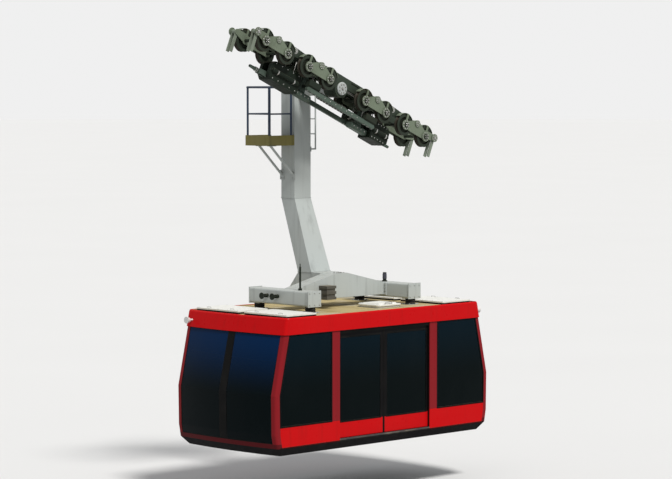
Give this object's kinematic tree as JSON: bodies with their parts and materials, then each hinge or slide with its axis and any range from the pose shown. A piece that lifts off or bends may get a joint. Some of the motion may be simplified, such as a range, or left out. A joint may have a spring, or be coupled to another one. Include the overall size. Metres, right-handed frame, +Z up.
{
  "type": "aerial tramway vehicle with carriage, hanger and passenger cabin",
  "caption": "Cable car cabin with a hanger, sliding doors and a wheeled carriage that runs on track ropes.",
  "frame": {"origin": "midway between the two track ropes' centrelines, square under the main pin", "axes": "+X downhill along the line, +Y towards the hanger's side, +Z up"},
  "size_m": [5.6659, 2.795, 7.5302],
  "materials": {
    "alu_track": "mill finish",
    "black_trim": "black trim",
    "brake_steel": "dark cast steel",
    "cabin_red": "gloss red paint",
    "carriage_zinc": "greenish grey galvanised and painted steel",
    "dark_housing": "dark grey-green paint",
    "desk_plastic": "dark grey",
    "door_paint": "red foot panel, black frame",
    "floor_rubber": "dark studded floor covering",
    "guard_zinc": "pale galvanised steel",
    "hanger_paint": "light grey paint, satin",
    "lamp_white": "white housing",
    "lining": "pale grey lining",
    "machined_steel": "machined steel, oiled",
    "platform_paint": "yellow-olive paint, worn",
    "pole_steel": "brushed",
    "rail_paint": "dark blue-grey paint",
    "roof_grit": "sand-coloured anti-slip coat",
    "roof_white": "cream-white paint, dusty",
    "rubber_black": "black rubber",
    "tinted_glass": "dark tinted glass",
    "underframe_black": "black undercoat",
    "wheel_steel": "grey cast wheels with bright running grooves"
  },
  "bodies": {
    "carriage": {"bogies_downhill_1": "carriage_zinc", "bogies_downhill_2": "carriage_zinc", "bogies_uphill_1": "carriage_zinc", "bogies_uphill_2": "carriage_zinc", "brake_bars": "machined_steel", "brake_spring": "brake_steel", "haul_rope_anchors": "machined_steel", "hydraulic_unit": "dark_housing", "main_beam": "carriage_zinc", "rocker_pins": "machined_steel", "rockers": "carriage_zinc", "rope_brakes": "brake_steel", "rope_forks": "guard_zinc"},
    "hanger_and_cabin": {"cabin_floor": "floor_rubber", "ceiling": "lining", "corner_lamps": "lamp_white", "cross_beams": "hanger_paint", "door_tracks": "alu_track", "end_frames": "cabin_red", "end_glass": "tinted_glass", "end_posts": "black_trim", "grab_poles": "pole_steel", "hanger_arm": "hanger_paint", "hanger_column": "hanger_paint", "hanger_ladder": "hanger_paint", "operator_desk": "desk_plastic", "platform_braces": "hanger_paint", "platform_frame": "platform_paint", "platform_railing": "rail_paint", "roof_band": "cabin_red", "roof_deck": "roof_grit", "roof_fittings": "dark_housing", "roof_hatch": "roof_white", "roof_panels": "roof_white", "roof_spine": "hanger_paint", "side_glass": "tinted_glass", "side_wall_far": "cabin_red", "side_wall_near": "cabin_red", "spring_packs": "rubber_black", "spring_pads": "rubber_black", "underframe": "underframe_black"},
    "wheel_pair_downhill_1_body": {"wheel_pair_downhill_1": "wheel_steel"},
    "wheel_pair_downhill_2_body": {"wheel_pair_downhill_2": "wheel_steel"},
    "wheel_pair_downhill_3_body": {"wheel_pair_downhill_3": "wheel_steel"},
    "wheel_pair_downhill_4_body": {"wheel_pair_downhill_4": "wheel_steel"},
    "wheel_pair_uphill_1_body": {"wheel_pair_uphill_1": "wheel_steel"},
    "wheel_pair_uphill_2_body": {"wheel_pair_uphill_2": "wheel_steel"},
    "wheel_pair_uphill_3_body": {"wheel_pair_uphill_3": "wheel_steel"},
    "wheel_pair_uphill_4_body": {"wheel_pair_uphill_4": "wheel_steel"},
    "door_near_uphill": {"door_leaf_near_uphill": "door_paint", "door_pane_near_uphill": "tinted_glass"},
    "door_near_downhill": {"door_leaf_near_downhill": "door_paint", "door_pane_near_downhill": "tinted_glass"},
    "door_far_uphill": {"door_leaf_far_uphill": "door_paint", "door_pane_far_uphill": "tinted_glass"},
    "door_far_downhill": {"door_leaf_far_downhill": "door_paint", "door_pane_far_downhill": "tinted_glass"}
  },
  "joints": [
    {"name": "hanger_swing", "type": "hinge", "parent": "carriage", "child": "hanger_and_cabin", "pos_m": [0.08864, 0, 0.2068], "axis": [0, 1, 0], "range_deg": [-12, 58]},
    {"name": "wheel_turn_downhill_1", "type": "hinge", "parent": "carriage", "child": "wheel_pair_downhill_1_body", "pos_m": [0.53796, 0, -0.01406], "axis": [0, 1, 0], "continuous": true},
    {"name": "wheel_turn_downhill_2", "type": "hinge", "parent": "carriage", "child": "wheel_pair_downhill_2_body", "pos_m": [1.07106, 0, -0.24255], "axis": [0, 1, 0], "continuous": true},
    {"name": "wheel_turn_downhill_3", "type": "hinge", "parent": "carriage", "child": "wheel_pair_downhill_3_body", "pos_m": [1.60416, 0, -0.47104], "axis": [0, 1, 0], "continuous": true},
    {"name": "wheel_turn_downhill_4", "type": "hinge", "parent": "carriage", "child": "wheel_pair_downhill_4_body", "pos_m": [2.13726, 0, -0.69952], "axis": [0, 1, 0], "continuous": true},
    {"name": "wheel_turn_uphill_1", "type": "hinge", "parent": "carriage", "child": "wheel_pair_uphill_1_body", "pos_m": [-0.38117, 0, 0.37988], "axis": [0, 1, 0], "continuous": true},
    {"name": "wheel_turn_uphill_2", "type": "hinge", "parent": "carriage", "child": "wheel_pair_uphill_2_body", "pos_m": [-0.91427, 0, 0.60837], "axis": [0, 1, 0], "continuous": true},
    {"name": "wheel_turn_uphill_3", "type": "hinge", "parent": "carriage", "child": "wheel_pair_uphill_3_body", "pos_m": [-1.44737, 0, 0.83685], "axis": [0, 1, 0], "continuous": true},
    {"name": "wheel_turn_uphill_4", "type": "hinge", "parent": "carriage", "child": "wheel_pair_uphill_4_body", "pos_m": [-1.98047, 0, 1.06534], "axis": [0, 1, 0], "continuous": true},
    {"name": "door_slide_near_uphill", "type": "slide", "parent": "hanger_and_cabin", "child": "door_near_uphill", "axis": [-1, 0, 0], "range_m": [0, 1.15]},
    {"name": "door_slide_near_downhill", "type": "slide", "parent": "hanger_and_cabin", "child": "door_near_downhill", "axis": [1, 0, 0], "range_m": [0, 1.15]},
    {"name": "door_slide_far_uphill", "type": "slide", "parent": "hanger_and_cabin", "child": "door_far_uphill", "axis": [-1, 0, 0], "range_m": [0, 1.15]},
    {"name": "door_slide_far_downhill", "type": "slide", "parent": "hanger_and_cabin", "child": "door_far_downhill", "axis": [1, 0, 0], "range_m": [0, 1.15]}
  ],
  "couplings": [
    {"joint": "door_slide_near_downhill", "follows": "door_slide_near_uphill", "ratio": 1},
    {"joint": "door_slide_far_downhill", "follows": "door_slide_far_uphill", "ratio": 1}
  ]
}
